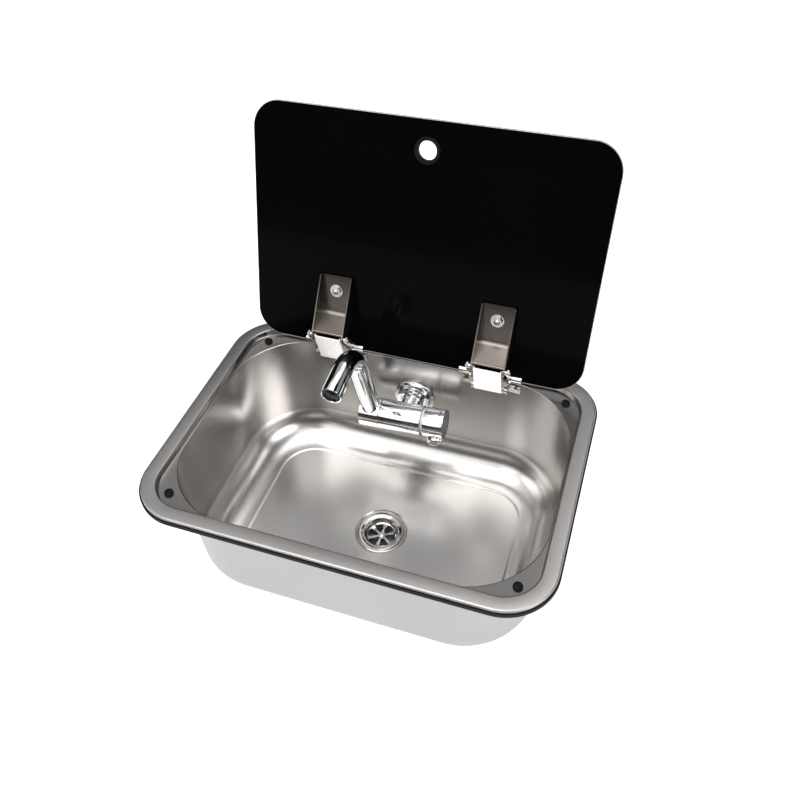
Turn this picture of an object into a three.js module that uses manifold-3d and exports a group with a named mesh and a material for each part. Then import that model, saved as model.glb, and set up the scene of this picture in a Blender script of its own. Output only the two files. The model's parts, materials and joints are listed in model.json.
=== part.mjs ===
// Drop-in kitchen sink for a camper van: pressed bowl, folding glass lid on two
// gooseneck hinges, fold-down mixer tap and basket waste.
// Millimetres, +X right, +Y back, +Z up. Origin: centre of the worktop cut-out in
// the worktop's top face, on which the rim gasket rests.
import * as THREE from "three";
import { mergeVertices } from "three/addons/utils/BufferGeometryUtils.js";
import Module from "manifold-3d";

const wasm = await Module();
wasm.setup();

// ---------------------------------------------------------------- driving sizes
const gap = 0.3; // between pieces that touch
const sheet = 0.8; // bowl sheet

const rimWidth = 530;
const rimDepth = 380;
const rimCorner = 66;
const rimRoll = 3; // radius and drop of the rolled outer edge
const flangeWidth = 19.7;
const recessEdgeRound = 2;
const shelfDrop = 10; // corner shelves below the rim's top face
const shelfFillet = 1.2;
const shelfLedge = 0.3;
const bowlEdgeRound = 1.6;
const bowlCorner = 104;
const bowlDepth = 193.5;
const wallDraft = 3; // inward lean of each wall over its height
const floorFillet = 45;
const floorFlat = 2;
const floorStepRound = 2;
const floorStepAngle = 40; // degrees
const floorFall = 1.6; // from the step down to the waste
const cornerSteps = 8;

const gasketHeight = 6;
const gasketOutset = 2;
const gasketReach = 13;

const bumperInset = 42.5; // rim's edge to each bumper
const bumperRadius = 6;
const bumperHeight = 4;
const bumperStem = 2.6;
const bumperBarb = 4;
const bumperTail = 3.4;

const lidInsetX = 27; // rim's edge to the closed glass
const lidInsetY = 25;
const lidCorner = 38;
const glass = 5;
const lidOpenAngle = 106.75; // degrees from closed
const fingerFromFront = 38;
const fingerHole = 15.5;
const fingerBore = 12.2;
const grommetLip = 17;
const grommetRise = 1.6;

const hingeInset = 150; // rim's side edge to each hinge's middle
const pivotInset = 1; // lid's rear edge to the pivot
const pivotZ = 3.4;
const pivotRadius = 2;
const knuckleRadius = 3.7;
const knuckleHalf = 22.5;
const hingeSheet = 1.6;

const armHalf = 23.2;
const armTop = 108; // lid's rear edge to the arm's tip
const armTipDepth = 7;
const armCrease = 52;
const noseReach = 33.5; // lid's rear edge to the arm's nose
const noseDrop = 36.2; // glass to the arm's nose
const noseRoll = 1.7;
const padThickness = 1;
const rivetReach = 27.1;
const rivetDrop = 32.5;
const rivetRadius = 2.2;
const rivetHead = 3.6;
const rivetHeadHeight = 1.4;
const rivetBoss = 6.2;

const cheekInner = 26.8;
const cheekThickness = 2.4;
const stubReach = 6; // lid's rear edge to the stub axle, towards the front
const stubDrop = 5.2; // glass to the stub axle
const stubRadius = 2.4;
const stubShoulder = 4.3;
const stubCapRadius = 4.8;
const stubCapInner = 42;
const stubCapThickness = 2;

const boltReach = 86;
const boltRadius = 3;
const boltHeadRadius = 8;
const boltHeadHeight = 3;
const nutAcross = 12;
const nutHeight = 5.4;
const nutWasher = 9.2;

const stayPivotFromWall = 12.2;
const stayPivotZ = -15;
const stayRodRadius = 4.4;
const stayHalf = 19.3;
const stayWebOffset = 12.6; // rod axis to the web's outer face
const stayWebLow = 9.1; // rod axis to the web's lower edge, along the stay
const stayWebLength = 52.1;
const stayLean = 14.3; // degrees the open stay leans forward
const stayTipDepth = 4.5;

const leafHalf = 42;
const leafTop = -12.6;
const leafBottom = -26;
const rodEarInner = 23.8;
const rodEarBoss = 6.4;
const screwSpread = 36.5;
const screwZ = -17.5;
const screwRadius = 2.1;
const screwHead = 4.2;
const screwHeadHeight = 2.1;
const screwNut = 3.9;
const screwNutHeight = 3.4;

const tapZ = -79;
const tapRoll = 3; // degrees the body is turned on its wall fixing
const shankRadius = 15;
const shankTail = 34; // behind the wall
const shankBore = 9;
const roseRadius = 31;
const roseThickness = 9;
const bodyRadius = 22;
const bodyOut = 46; // wall to the body's axis
const bodyLeft = -35.5; // along the body from the shank's axis
const bodyRight = 27;
const spigotRadius = 16;
const spigotEnd = -58.5;
const collarEnd = -66.5;
const spoutTube = 13.8;
const spoutBore = 11.4;
const spoutPort = 6.4;
const spoutLean = 14.5; // degrees the raised spout leans forward
const spoutRise = 161;
const spoutBend = 40;
const spoutReach = 41.7; // straight length after the bend
const spoutPitch = -5.5; // degrees the outlet turns past square to the riser
const mouthFlare = 0.5;
const ringRadius = 18.4;
const ringFromBody = 5.8;
const handleFromBody = 4.2;
const handleLength = 29.8;
const handleWall = 2.4;
const leverWidth = 20;
const leverDrop = 11;
const leverThickness = 4;
const leverTurn = 45; // degrees the lever points forward of straight down
const cartridgeRadius = 17.4;
const cartridgeStart = 0;
const rotorRadius = 11;
const rotorFromBody = 0.4;
const rotorThickness = 4.8;
const rotorSlot = 5.2;
const stemHalf = 3;
const tiltFromBody = 3.8;
const markRadius = 1.6;
const markFromEnd = 6.5;
const hotMarkTurn = -6; // degrees forward of the handle's top
const coldMarkTurn = 12;

const wasteY = -5;
const wasteFlange = 36;
const wasteSeatDrop = 1.8;
const wasteCup = 23;
const wasteCupDepth = 22;
const wasteWall = 1.5;
const gridDrop = 10; // grid below the waste's rim
const gridSpokes = 6;
const tailRadius = 20;
const tailLength = 58;

// ------------------------------------------------------------- derived sizes
const rad = THREE.MathUtils.degToRad;
const degrees = THREE.MathUtils.radToDeg;
const fullTurn = 360;
const rimTop = rimRoll + gasketHeight; // rim's top face above the worktop
const halfWidth = rimWidth / 2;
const halfDepth = rimDepth / 2;
const shelfInset = flangeWidth + shelfFillet;
const bowlEdgeInset = shelfInset + shelfLedge;
const wallInset = bowlEdgeInset + bowlEdgeRound;
const filletInset = wallInset + wallDraft;
const floorInset = filletInset + floorFillet;
const stepInset = floorInset + floorFlat;
const stepRun = 2 * floorStepRound * Math.sin(rad(floorStepAngle));
const stepDrop = 2 * floorStepRound * (1 - Math.cos(rad(floorStepAngle)));
const wasteRimZ = -(bowlDepth + stepDrop + floorFall);
const wasteSeatZ = wasteRimZ - wasteSeatDrop;
const rearWallY = halfDepth - wallInset;
const wallTopZ = -shelfDrop - bowlEdgeRound;
const wallBottomZ = -bowlDepth + floorFillet;
const wallLean = Math.atan2(wallDraft, wallTopZ - wallBottomZ);
const cornerStart = halfWidth - wallInset - bowlCorner; // rear wall's flat half width
const intoCorner = (x) => Math.max(Math.abs(x) - cornerStart, 0);
const firstFacet = rad(45 / cornerSteps); // turn of the corner's first facet
const wallDrop = (x) => intoCorner(x) * Math.tan(firstFacet);
const wallTurn = (x) => intoCorner(x) > 0 ? -Math.sign(x) * firstFacet : 0;
const rearWallAt = (z) => rearWallY - (wallTopZ - z) * Math.tan(wallLean);
const bumperX = halfWidth - bumperInset;
const bumperY = halfDepth - bumperInset;
const lidWidth = rimWidth - 2 * lidInsetX;
const lidDepth = rimDepth - 2 * lidInsetY;
const lidRearY = lidDepth / 2;
const hingeSpread = halfWidth - hingeInset; // from the centre line to each hinge
const pivotY = lidRearY - pivotInset;
const stayPivotY = rearWallY - stayPivotFromWall;
const spoutAlong = (collarEnd + bodyLeft) / 2; // riser in the collar's middle
const ringEnd = bodyRight + ringFromBody;
const handleStart = bodyRight + handleFromBody;
const handleEnd = handleStart + handleLength;
const rotorStart = bodyRight + rotorFromBody;
const rotorEnd = rotorStart + rotorThickness;
const tiltAxis = bodyRight + tiltFromBody;

// --------------------------------------------------------------- solid helpers
function solidOf(geometry) {
  const bare = geometry.index ? geometry.toNonIndexed() : geometry.clone();
  bare.deleteAttribute("normal");
  bare.deleteAttribute("uv");
  const merged = mergeVertices(bare, 1e-4);
  return new wasm.Manifold(new wasm.Mesh({
    numProp: 3,
    vertProperties: new Float32Array(merged.attributes.position.array),
    triVerts: new Uint32Array(merged.index.array),
  }));
}

function geometryOf(solid) {
  const mesh = solid.getMesh();
  const geometry = new THREE.BufferGeometry();
  const points = new Float32Array(mesh.numVert * 3);
  for (let i = 0; i < mesh.numVert; i++) {
    points.set(mesh.vertProperties.subarray(i * mesh.numProp, i * mesh.numProp + 3), i * 3);
  }
  geometry.setAttribute("position", new THREE.BufferAttribute(points, 3));
  geometry.setIndex(new THREE.BufferAttribute(new Uint32Array(mesh.triVerts), 1));
  geometry.computeVertexNormals();
  return geometry;
}

const joined = (...solids) => solids.reduce((whole, solid) => whole.add(solid));
const cut = (solid, ...tools) => tools.reduce((rest, tool) => rest.subtract(tool), solid);

// A closed skin over rings of equal point count. Open ends are capped by a fan to
// the two given centre points; without them the last ring joins the first.
function skin(rings, startPoint, endPoint) {
  const count = rings[0].length;
  const points = rings.flat();
  const faces = [];
  const capped = Boolean(startPoint);
  const bands = capped ? rings.length - 1 : rings.length;
  for (let r = 0; r < bands; r++) {
    const here = r * count;
    const next = ((r + 1) % rings.length) * count;
    for (let i = 0; i < count; i++) {
      const j = (i + 1) % count;
      faces.push(here + i, here + j, next + j, here + i, next + j, next + i);
    }
  }
  if (capped) {
    const start = points.push(startPoint) - 1;
    const end = points.push(endPoint) - 1;
    const last = (rings.length - 1) * count;
    for (let i = 0; i < count; i++) {
      const j = (i + 1) % count;
      faces.push(start, j, i, end, last + i, last + j);
    }
  }
  const geometry = new THREE.BufferGeometry().setFromPoints(points);
  geometry.setIndex(faces);
  const solid = solidOf(geometry);
  if (solid.volume() > 0) return solid;
  for (let i = 0; i < faces.length; i += 3) {
    [faces[i + 1], faces[i + 2]] = [faces[i + 2], faces[i + 1]];
  }
  geometry.setIndex(faces);
  return solidOf(geometry);
}

// Rounded rectangle at height z, as one ring with cornerSteps + 1 points a corner.
function roundedRing(width, depth, radius, z) {
  const ring = [];
  for (let corner = 0; corner < 4; corner++) {
    const sideX = corner === 0 || corner === 3 ? 1 : -1;
    const sideY = corner < 2 ? 1 : -1;
    for (let i = 0; i <= cornerSteps; i++) {
      const angle = rad(90 * (corner + i / cornerSteps));
      ring.push(new THREE.Vector3(
        sideX * (width / 2 - radius) + radius * Math.cos(angle),
        sideY * (depth / 2 - radius) + radius * Math.sin(angle),
        z,
      ));
    }
  }
  return ring;
}

// Circle with the same point count as a rounded ring and no doubled points.
function circleRing(radius, centreY, z) {
  const ring = [];
  const perCorner = cornerSteps + 1;
  for (let i = 0; i < 4 * perCorner; i++) {
    const angle = rad(90 * (i + 0.5) / perCorner);
    ring.push(new THREE.Vector3(radius * Math.cos(angle), centreY + radius * Math.sin(angle), z));
  }
  return ring;
}

// Solid of revolution about +Z from [radius, z] pairs that start and end on the axis
// or close on themselves.
function lathe(profile, segments = 32) {
  const points = profile.map(([radius, z]) => new THREE.Vector2(radius, z));
  const geometry = new THREE.LatheGeometry(points, segments);
  geometry.rotateX(Math.PI / 2);
  const solid = solidOf(geometry);
  if (solid.volume() > 0) return solid;
  return lathe([...profile].reverse(), segments);
}

const rod = (radius, from, to, segments = 24) =>
  lathe([[0, from], [radius, from], [radius, to], [0, to]], segments);

const tube = (outer, inner, from, to, segments = 32) =>
  lathe([[inner, from], [outer, from], [outer, to], [inner, to], [inner, from]], segments);

const turned = (solid, x, y, z) => solid.rotate([x, y, z]);
const alongX = (solid) => turned(solid, 0, 90, 0);
const alongY = (solid) => turned(solid, -90, 0, 0);

function box(x0, x1, y0, y1, z0, z1) {
  const geometry = new THREE.BoxGeometry(x1 - x0, y1 - y0, z1 - z0);
  geometry.translate((x0 + x1) / 2, (y0 + y1) / 2, (z0 + z1) / 2);
  return solidOf(geometry);
}

function extrude(shape, from, to, curveSegments = 10) {
  const options = { depth: to - from, bevelEnabled: false, curveSegments };
  const geometry = new THREE.ExtrudeGeometry(shape, options);
  geometry.translate(0, 0, from);
  return geometry;
}

// Extrudes a shape drawn in the (Y, Z) plane along X.
function extrudeAlongX(shape, from, to, curveSegments) {
  const geometry = extrude(shape, from, to, curveSegments);
  const toYZ = new THREE.Matrix4().makeBasis(
    new THREE.Vector3(0, 1, 0),
    new THREE.Vector3(0, 0, 1),
    new THREE.Vector3(1, 0, 0),
  );
  return solidOf(geometry.applyMatrix4(toYZ));
}

// Outline that wraps circles [y, z, radius] in the order given, like a belt.
function beltShape(circles) {
  const shape = new THREE.Shape();
  const tangents = circles.map(([y, z, r], i) => {
    const [nextY, nextZ, nextR] = circles[(i + 1) % circles.length];
    const reach = Math.hypot(nextY - y, nextZ - z);
    const heading = Math.atan2(nextZ - z, nextY - y);
    return heading - Math.acos((r - nextR) / reach);
  });
  circles.forEach(([y, z, r], i) => {
    const arrive = tangents[(i + circles.length - 1) % circles.length];
    let leave = tangents[i];
    while (leave < arrive) leave += 2 * Math.PI;
    shape.absarc(y, z, r, arrive, leave, false);
  });
  return shape;
}

function polygonShape(points) {
  return new THREE.Shape(points.map(([a, b]) => new THREE.Vector2(a, b)));
}

// A strip of even thickness whose middle follows the points [y, z].
function stripShape(points, thickness) {
  const middle = points.map(([y, z]) => new THREE.Vector2(y, z));
  const normals = middle.map((point, i) => {
    const before = middle[Math.max(i - 1, 0)];
    const after = middle[Math.min(i + 1, middle.length - 1)];
    const along = after.clone().sub(before).normalize();
    const first = point.clone().sub(before).normalize();
    const second = after.clone().sub(point).normalize();
    const half = i > 0 && i < middle.length - 1 ? Math.sqrt((1 + first.dot(second)) / 2) : 1;
    return new THREE.Vector2(-along.y, along.x).multiplyScalar(thickness / 2 / half);
  });
  const left = middle.map((point, i) => point.clone().add(normals[i]));
  const right = middle.map((point, i) => point.clone().sub(normals[i]));
  return new THREE.Shape([...left, ...right.reverse()]);
}

// ------------------------------------------------------------------- materials
const finish = (color, roughness, metalness, more = {}) =>
  () => new THREE.MeshStandardMaterial({ color, roughness, metalness, ...more });
const brushedSteel = finish(0xb9b4ad, 0.38, 1);
const polishedSteel = finish(0xd9d6d0, 0.2, 1);
const chrome = finish(0xe6e8ea, 0.06, 1);
const blackRubber = finish(0x141414, 0.75, 0);
const blackGlass = finish(0x0a0a0b, 0.06, 0);
const brass = finish(0xb99a55, 0.35, 1);
const whitePlastic = finish(0xe9e9e6, 0.4, 0);
const greyPlastic = finish(0x6f7376, 0.5, 0);
const redPaint = finish(0xc4262b, 0.35, 0);
const bluePaint = finish(0x2a62c9, 0.35, 0);

function piece(name, solid, material) {
  const mesh = new THREE.Mesh(geometryOf(solid), material());
  mesh.name = name;
  return mesh;
}

// ------------------------------------------------------------------------ bowl
// Stations of the sheet's section, from the rolled edge to the floor: an arc turns
// about (inset, z), outwards side up when convex, with a skin on each face.
function bowlStations() {
  const stations = [];
  const flangeCorner = (inset) => Math.max(rimCorner - inset, 1);
  const wallCorner = (inset) => Math.max(bowlCorner - (inset - wallInset), 1);
  function arc(inset, z, radius, fromDegrees, toDegrees, steps, convex, corner) {
    for (let i = 0; i <= steps; i++) {
      const angle = rad(fromDegrees + (toDegrees - fromDegrees) * i / steps);
      const under = convex ? radius - sheet : radius + sheet;
      stations.push([radius, under].map((r) => {
        const at = inset + r * Math.cos(angle);
        return { inset: at, z: z + r * Math.sin(angle), corner: corner(at) };
      }));
    }
  }
  const lean = degrees(wallLean);
  arc(rimRoll, -rimRoll, rimRoll, 180, 90, 3, true, flangeCorner);
  arc(flangeWidth - recessEdgeRound, -recessEdgeRound, recessEdgeRound, 90, 0, 2, true, flangeCorner);
  arc(shelfInset, -shelfDrop + shelfFillet, shelfFillet, 180, 270, 2, false, flangeCorner);
  arc(bowlEdgeInset, -shelfDrop - bowlEdgeRound, bowlEdgeRound, 90, lean, 2, true, wallCorner);
  arc(floorInset, -bowlDepth + floorFillet, floorFillet, 180 + lean, 270, 6, false, wallCorner);
  arc(stepInset, -bowlDepth - floorStepRound, floorStepRound, 90, 90 - floorStepAngle, 2, true, wallCorner);
  const lowInset = stepInset + stepRun;
  const lowZ = -bowlDepth - stepDrop + floorStepRound;
  arc(lowInset, lowZ, floorStepRound, 270 - floorStepAngle, 270, 2, false, wallCorner);
  return stations;
}

function bowlSolid() {
  const stations = bowlStations();
  const ringOf = ({ inset, z, corner }) =>
    roundedRing(rimWidth - 2 * inset, rimDepth - 2 * inset, corner, z);
  const top = stations.map(([upper]) => ringOf(upper));
  const under = stations.map(([, lower]) => ringOf(lower));
  const seatRings = (drop) => [
    circleRing(wasteFlange + 2.6, wasteY, wasteRimZ - drop),
    circleRing(wasteFlange + 0.8, wasteY, wasteSeatZ - drop),
  ];
  top.push(...seatRings(0));
  under.push(...seatRings(sheet));
  const centre = (drop) => new THREE.Vector3(0, wasteY, wasteSeatZ - drop);
  const rings = [...top.reverse(), ...under];
  const shell = skin(rings, centre(0), centre(sheet));
  const holes = [rod(wasteCup + wasteWall + 1.2, wasteSeatZ - 10, wasteSeatZ + 10, 40)
    .translate([0, wasteY, 0])];
  holes.push(tapFrame(alongY(rod(shankRadius + 0.5, -20, 20, 28))));
  for (const side of [-1, 1]) {
    for (const end of [-1, 1]) {
      const x = side * hingeSpread + end * screwSpread;
      holes.push(turned(alongY(rod(screwRadius + gap, -12, 12, 12)), 0, 0, degrees(wallTurn(x)))
        .translate([x, screwFront - wallDrop(x), screwZ]));
      holes.push(rod(bumperStem + gap, -6, 6, 16)
        .translate([side * bumperX, end * bumperY, -shelfDrop]));
    }
  }
  return cut(shell, ...holes);
}

// Puts a solid drawn about the tap's wall point, with +Y into the wall, in place.
function tapFrame(solid) {
  const lean = degrees(wallLean);
  return turned(solid, -lean, 0, 0).translate([0, rearWallAt(tapZ), tapZ]);
}

// ---------------------------------------------------------------------- gasket
function gasketSolid() {
  const outer = -gasketOutset;
  const lipClear = sheet + gap;
  const low = -rimRoll - gasketHeight;
  const section = [
    [outer, low],
    [gasketReach, low],
    [gasketReach, -sheet - gap],
    [lipClear + 1, -sheet - gap],
    [lipClear, -sheet - gap - 1],
    [lipClear, -rimRoll - gap],
    [outer + 0.8, -rimRoll - gap],
    [outer, -rimRoll - gap - 0.8],
  ];
  const rings = section.map(([inset, z]) =>
    roundedRing(rimWidth - 2 * inset, rimDepth - 2 * inset, rimCorner - inset, z));
  return skin(rings);
}

// --------------------------------------------------------------------- bumpers
function bumperSolid() {
  const top = -shelfDrop + gap + bumperHeight;
  const seat = -shelfDrop + gap;
  const barbTop = -shelfDrop - sheet - gap;
  const dome = [];
  const domeSteps = 3;
  for (let i = 0; i <= domeSteps; i++) {
    const angle = rad(90 * i / domeSteps);
    const side = bumperHeight * 0.55;
    dome.push([
      bumperRadius - 2.6 + 2.6 * Math.cos(angle),
      seat + bumperHeight - side + side * Math.sin(angle),
    ]);
  }
  return lathe([
    [0, barbTop - bumperTail],
    [bumperStem * 0.6, barbTop - bumperTail],
    [bumperBarb, barbTop - 0.8],
    [bumperBarb, barbTop],
    [bumperStem, barbTop],
    [bumperStem, seat],
    [bumperRadius, seat],
    ...dome,
    [0, top],
  ], 12);
}

// ------------------------------------------------------------------------- lid
// The lid's own frame: Y = 0 at the rear edge with -Y towards the front, Z = 0 at
// the underside, as it lies closed. Hinge parts hang below the glass.
const lidUnderZ = -shelfDrop + gap + bumperHeight + gap;
const pivotLocalY = pivotY - lidRearY;
const pivotLocalZ = pivotZ - lidUnderZ;
const padBottom = -gap - padThickness;
const armBack = padBottom - gap;
const fingerReach = lidDepth - fingerFromFront;

function glassSolid() {
  const shape = new THREE.Shape();
  const halfX = lidWidth / 2 - lidCorner;
  shape.absarc(halfX, -lidCorner, lidCorner, 0, Math.PI / 2, false);
  shape.absarc(-halfX, -lidCorner, lidCorner, Math.PI / 2, Math.PI, false);
  shape.absarc(-halfX, -lidDepth + lidCorner, lidCorner, Math.PI, 1.5 * Math.PI, false);
  shape.absarc(halfX, -lidDepth + lidCorner, lidCorner, 1.5 * Math.PI, 2 * Math.PI, false);
  const pane = solidOf(extrude(shape, 0, glass, 5));
  const holes = [rod(fingerHole, -1, glass + 1, 28).translate([0, -fingerReach, 0])];
  for (const side of [-1, 1]) {
    holes.push(rod(boltRadius + 1, -1, glass + 1, 12)
      .translate([side * hingeSpread, -boltReach, 0]));
  }
  return cut(pane, ...holes);
}

function grommetSolid() {
  const low = -gap;
  const high = glass + gap;
  return lathe([
    [fingerBore, low - grommetRise],
    [grommetLip - 0.9, low - grommetRise],
    [grommetLip, low - grommetRise + 0.9],
    [grommetLip, low],
    [fingerHole - gap, low],
    [fingerHole - gap, high],
    [grommetLip, high],
    [grommetLip, high + grommetRise - 0.9],
    [grommetLip - 0.9, high + grommetRise],
    [fingerBore, high + grommetRise],
    [fingerBore, low - grommetRise],
  ], 28).translate([0, -fingerReach, 0]);
}

const rivetAt = [-rivetReach, -rivetDrop];
const noseAt = [-noseReach, -noseDrop];
const stubAt = [-stubReach, -stubDrop];

function armSolid() {
  const flange = beltShape([
    [-armTop + 1, armBack - 1, 1],
    [-armTop + 3, armBack - armTipDepth + 3, 3],
    [rivetAt[0], rivetAt[1], rivetBoss],
    [-armCrease + 8, armBack - 2, 2],
  ]);
  const middle = armBack - hingeSheet / 2;
  const web = stripShape([
    [-armTop, middle],
    [-armCrease - 4, middle],
    [-armCrease, middle - 1.6],
    [-armCrease + 3.4, middle - 4.6],
    [noseAt[0], noseAt[1] + noseRoll],
  ], hingeSheet);
  const side = (sign) => {
    const outer = sign * armHalf;
    const inner = sign * (armHalf - hingeSheet);
    return extrudeAlongX(flange, Math.min(outer, inner), Math.max(outer, inner), 4);
  };
  const width = armHalf - hingeSheet / 2;
  const nose = alongX(rod(noseRoll, -width, width, 12))
    .translate([0, noseAt[0], noseAt[1] + noseRoll]);
  const body = joined(extrudeAlongX(web, -width, width), nose, side(-1), side(1));
  const boltHole = rod(boltRadius + gap, armBack - 8, armBack + 4, 16)
    .translate([0, -boltReach, 0]);
  const rivetHoles = alongX(rod(rivetRadius + gap, -armHalf - 2, armHalf + 2, 14))
    .translate([0, ...rivetAt]);
  return cut(body, boltHole, rivetHoles);
}

function padSolid() {
  const pad = box(
    -armHalf + 1, armHalf - 1, -armTop + 2, -armCrease - 4, padBottom, -gap,
  );
  return cut(pad, rod(boltRadius + gap, -6, 6, 16).translate([0, -boltReach, 0]));
}

// Domed bolt through glass, pad and arm, head on the lid's outer face.
function boltSolid() {
  const head = glass + gap;
  return lathe([
    [0, armBack - hingeSheet - nutHeight + 1.4],
    [boltRadius - gap, armBack - hingeSheet - nutHeight + 1.4],
    [boltRadius - gap, head],
    [boltHeadRadius, head],
    [boltHeadRadius, head + 0.8],
    [boltHeadRadius * 0.72, head + boltHeadHeight * 0.8],
    [boltHeadRadius * 0.35, head + boltHeadHeight],
    [0, head + boltHeadHeight],
  ], 18).translate([0, -boltReach, 0]);
}

// Cap nut on its washer.
function capNutSolid() {
  const top = armBack - hingeSheet - gap;
  const domeBase = top - nutHeight + 0.6;
  const washer = rod(nutWasher, top - 1, top, 24);
  const hexRadius = nutAcross / 2 / Math.cos(Math.PI / 6);
  const hex = turned(rod(hexRadius, domeBase - 0.4, top - 0.9, 6), 0, 0, 30);
  const dome = lathe([
    [0, domeBase - 3.4],
    [1.8, domeBase - 3.1],
    [3.4, domeBase - 2.1],
    [4.4, domeBase],
    [0, domeBase],
  ], 16);
  const bore = rod(boltRadius, top - nutHeight + 1.2, top + 1, 14);
  return cut(joined(washer, hex, dome), bore).translate([0, -boltReach, 0]);
}

// Cheek plate: rivet eye, stub eye, then a hook round the glass's rear edge to the
// pivot eye above it.
function cheekSolid(side) {
  const eye = knuckleRadius;
  const hookY = 2.3; // behind the rear edge, in the gap to the recess wall
  const hookHalf = 1.8;
  const lower = beltShape([
    [rivetAt[0], rivetAt[1], rivetBoss - 1],
    [stubAt[0], stubAt[1], stubShoulder],
  ]);
  const sweep = beltShape([
    [stubAt[0], stubAt[1], stubShoulder - 1],
    [hookY - 1.2, -3.4, 1.5],
  ]);
  const rise = beltShape([
    [hookY - 1.2, -3.4, 1.5],
    [hookY, -0.4, hookHalf - 0.2],
    [hookY, glass + 1.4, hookHalf - 0.2],
  ]);
  const over = beltShape([
    [hookY, glass + 1.8, hookHalf],
    [pivotLocalY, pivotLocalZ, eye],
  ]);
  const from = side > 0 ? cheekInner : -cheekInner - cheekThickness;
  const to = from + cheekThickness;
  const plate = joined(...[lower, sweep, rise, over].map((s) => extrudeAlongX(s, from, to, 2)));
  const hole = (radius, [y, z]) =>
    alongX(rod(radius, -cheekInner * 2, cheekInner * 2, 10)).translate([0, y, z]);
  return cut(
    plate,
    hole(pivotRadius + gap, [pivotLocalY, pivotLocalZ]),
    hole(rivetRadius + gap, rivetAt),
    hole(stubRadius + gap, stubAt),
  );
}

// Rivet through the arm's flange and the cheek, headed on both ends.
function rivetSolid(side) {
  const inner = armHalf - hingeSheet - gap;
  const outer = cheekInner + cheekThickness + gap;
  const profile = [
    [0, inner - 0.8],
    [rivetRadius + 0.7, inner - 0.8],
    [rivetRadius + 0.7, inner],
    [rivetRadius, inner],
    [rivetRadius, armHalf + gap],
    [rivetHead, armHalf + gap],
    [rivetHead, cheekInner - gap],
    [rivetRadius, cheekInner - gap],
    [rivetRadius, outer],
    [rivetHead, outer],
    [rivetHead - 0.5, outer + rivetHeadHeight * 0.7],
    [rivetHead - 1.6, outer + rivetHeadHeight],
    [0, outer + rivetHeadHeight],
  ];
  const solid = alongX(lathe(profile, 12));
  return (side > 0 ? solid : solid.mirror([1, 0, 0])).translate([0, ...rivetAt]);
}

// Stub axle riveted in the cheek: shoulder, then a wider end cap.
function stubSolid(side) {
  const start = cheekInner - gap - 0.9;
  const shoulder = cheekInner + cheekThickness + gap;
  const end = stubCapInner + stubCapThickness;
  const profile = [
    [0, start],
    [stubRadius + 0.9, start],
    [stubRadius + 0.9, cheekInner - gap],
    [stubRadius, cheekInner - gap],
    [stubRadius, shoulder],
    [stubShoulder, shoulder],
    [stubShoulder, stubCapInner],
    [stubCapRadius, stubCapInner],
    [stubCapRadius, end - 0.5],
    [stubCapRadius - 0.5, end],
    [0, end],
  ];
  const solid = alongX(lathe(profile, 14));
  return (side > 0 ? solid : solid.mirror([1, 0, 0])).translate([0, ...stubAt]);
}

// -------------------------------------------------------------- hinge on the wall
const leafBack = rearWallAt(leafBottom) - gap;
const screwFront = leafBack - hingeSheet - gap; // under the screws' heads

// Leaf that follows the wall round into the corner, seen from above.
function leafSolid(side) {
  const stations = [-leafHalf, cornerStart - hingeSpread, leafHalf];
  const back = stations.map((u) => [side * u, leafBack - wallDrop(hingeSpread + u)]);
  const front = back.map(([x, y]) => [x, y - hingeSheet]).reverse();
  const outline = side > 0 ? [...front, ...back] : [...back, ...front];
  return solidOf(extrude(polygonShape(outline), leafBottom, leafTop));
}

function baseSolid(side) {
  const front = leafBack - hingeSheet;
  const neckHalf = knuckleHalf - 1;
  const neck = box(-neckHalf, neckHalf, front, leafBack, leafTop - 1, pivotZ);
  const knuckle = alongX(rod(knuckleRadius, -knuckleHalf, knuckleHalf, 16))
    .translate([0, pivotY, pivotZ]);
  const ear = (hand) => {
    const shape = beltShape([
      [stayPivotY, stayPivotZ, rodEarBoss],
      [front + 0.4, leafBottom + 2, 1],
      [front + 0.4, leafTop - 1.4, 1],
    ]);
    const inner = hand * rodEarInner;
    const outer = hand * (rodEarInner + hingeSheet);
    return extrudeAlongX(shape, Math.min(inner, outer), Math.max(inner, outer), 3);
  };
  const screws = [-1, 1].map((end) => {
    const x = side * hingeSpread + end * screwSpread;
    return turned(alongY(rod(screwRadius + gap, -10, 10, 12)), 0, 0, degrees(wallTurn(x)))
      .translate([end * screwSpread, screwFront - wallDrop(x), screwZ]);
  });
  const bore = alongX(rod(pivotRadius + 0.1, -leafHalf, leafHalf, 14))
    .translate([0, pivotY, pivotZ]);
  const rodHoles = alongX(rod(stayRodRadius - 1.6 + gap, -leafHalf, leafHalf, 14))
    .translate([0, stayPivotY, stayPivotZ]);
  const glassRoom = box(
    -leafHalf, leafHalf, front - 20, lidRearY + gap + 0.1, lidUnderZ - 0.4, lidUnderZ + glass + 0.1,
  );
  const whole = joined(leafSolid(side), neck, knuckle, ear(-1), ear(1));
  return cut(whole, ...screws, bore, rodHoles, glassRoom);
}

function pivotPinSolid() {
  const half = cheekInner + cheekThickness + gap;
  return alongX(lathe([
    [0, -half - 1],
    [pivotRadius + 0.8, -half - 1],
    [pivotRadius + 0.8, -half],
    [pivotRadius, -half],
    [pivotRadius, half],
    [pivotRadius + 0.8, half],
    [pivotRadius + 0.8, half + 1],
    [0, half + 1],
  ], 12)).translate([0, pivotY, pivotZ]);
}

function stayRodSolid() {
  const shoulder = rodEarInner - gap;
  const end = rodEarInner + hingeSheet;
  const neck = stayRodRadius - 1.6;
  return alongX(lathe([
    [0, -end],
    [neck, -end],
    [neck, -shoulder],
    [stayRodRadius, -shoulder],
    [stayRodRadius, shoulder],
    [neck, shoulder],
    [neck, end],
    [0, end],
  ], 14)).translate([0, stayPivotY, stayPivotZ]);
}

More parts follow.
